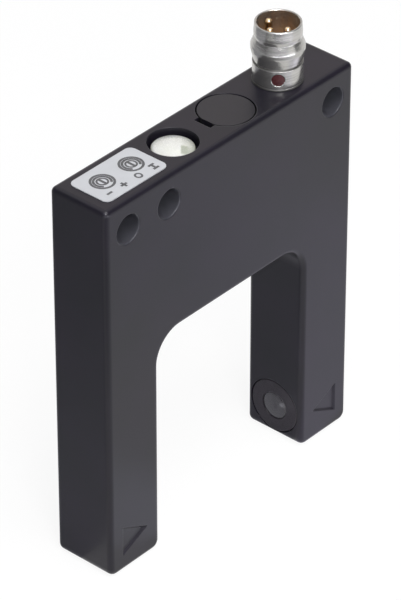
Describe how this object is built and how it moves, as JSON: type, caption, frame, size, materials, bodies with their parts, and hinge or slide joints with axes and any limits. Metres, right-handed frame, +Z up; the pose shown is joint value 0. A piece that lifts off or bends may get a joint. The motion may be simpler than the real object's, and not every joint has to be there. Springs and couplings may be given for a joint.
{
  "type": "fork sensor",
  "caption": "Photoelectric fork sensor: slim black U-shaped metal housing with facing lenses at the leg tips, cross holes, indicator dome, adjuster cap and snap-in plug connector on top.",
  "frame": {"origin": "on the floor under the middle of the part, at the height of the leg tips", "axes": "+X along the bridge towards the plug connector, +Y out of the rear cover, +Z up from the leg tips to the connector"},
  "size_m": [0.05, 0.01, 0.069],
  "materials": {
    "housing_anodised": "satin black anodised",
    "label_foil": "pale printed foil",
    "light_guide": "milky translucent",
    "cap_plastic": "fine satin",
    "seal_rubber": "soft black",
    "bond_film": "cured adhesive",
    "nickel_plate": "nickel plated",
    "gold_contact": "gold plated",
    "insert_plastic": "moulded",
    "dot_enamel": "dark red enamel",
    "lens_plastic": "dark polished",
    "bezel_plastic": "black moulded",
    "diode_resin": "tinted resin",
    "holder_plastic": "moulded",
    "board_laminate": "solder resist",
    "screw_steel": "zinc plated",
    "chip_resin": "moulded",
    "capacitor_ceramic": "fired",
    "trimmer_plastic": "moulded",
    "rotor_metal": "tin plated",
    "lamp_resin": "clear resin"
  },
  "bodies": {
    "sensor": {"housing": "housing_anodised", "rear_cover": "housing_anodised", "cover_bond": "bond_film", "label": "label_foil", "indicator_dome": "light_guide", "indicator_lamp": "lamp_resin", "adjuster_cap": "cap_plastic", "cap_o_ring": "seal_rubber", "connector_shell": "nickel_plate", "connector_o_ring": "seal_rubber", "connector_insert": "insert_plastic", "orientation_dot": "dot_enamel", "connector_board": "board_laminate", "main_board": "board_laminate", "board_screws": "screw_steel", "control_board": "board_laminate", "controller_chip": "chip_resin", "driver_chip": "chip_resin", "ceramic_capacitors": "capacitor_ceramic", "sensitivity_trimmer_body": "trimmer_plastic", "mode_trimmer_body": "trimmer_plastic", "contact_pin_1": "gold_contact", "contact_pin_3": "gold_contact", "contact_pin_4": "gold_contact", "emitter_bezel": "bezel_plastic", "emitter_bezel_seal": "seal_rubber", "emitter_lens": "lens_plastic", "emitter_diode": "diode_resin", "emitter_diode_holder": "holder_plastic", "receiver_bezel": "bezel_plastic", "receiver_bezel_seal": "seal_rubber", "receiver_lens": "lens_plastic", "receiver_diode": "diode_resin", "receiver_diode_holder": "holder_plastic"},
    "sensitivity_rotor": {"sensitivity_trimmer_rotor": "rotor_metal"},
    "mode_rotor": {"mode_trimmer_rotor": "rotor_metal"}
  },
  "joints": [
    {"name": "sensitivity_turn", "type": "hinge", "parent": "sensor", "child": "sensitivity_rotor", "pos_m": [0.00258, 0, 0.05], "axis": [0, 0, 1], "range_deg": [-120, 120]},
    {"name": "mode_turn", "type": "hinge", "parent": "sensor", "child": "mode_rotor", "pos_m": [0.00598, 0, 0.05], "axis": [0, 0, 1], "range_deg": [-120, 120]}
  ]
}
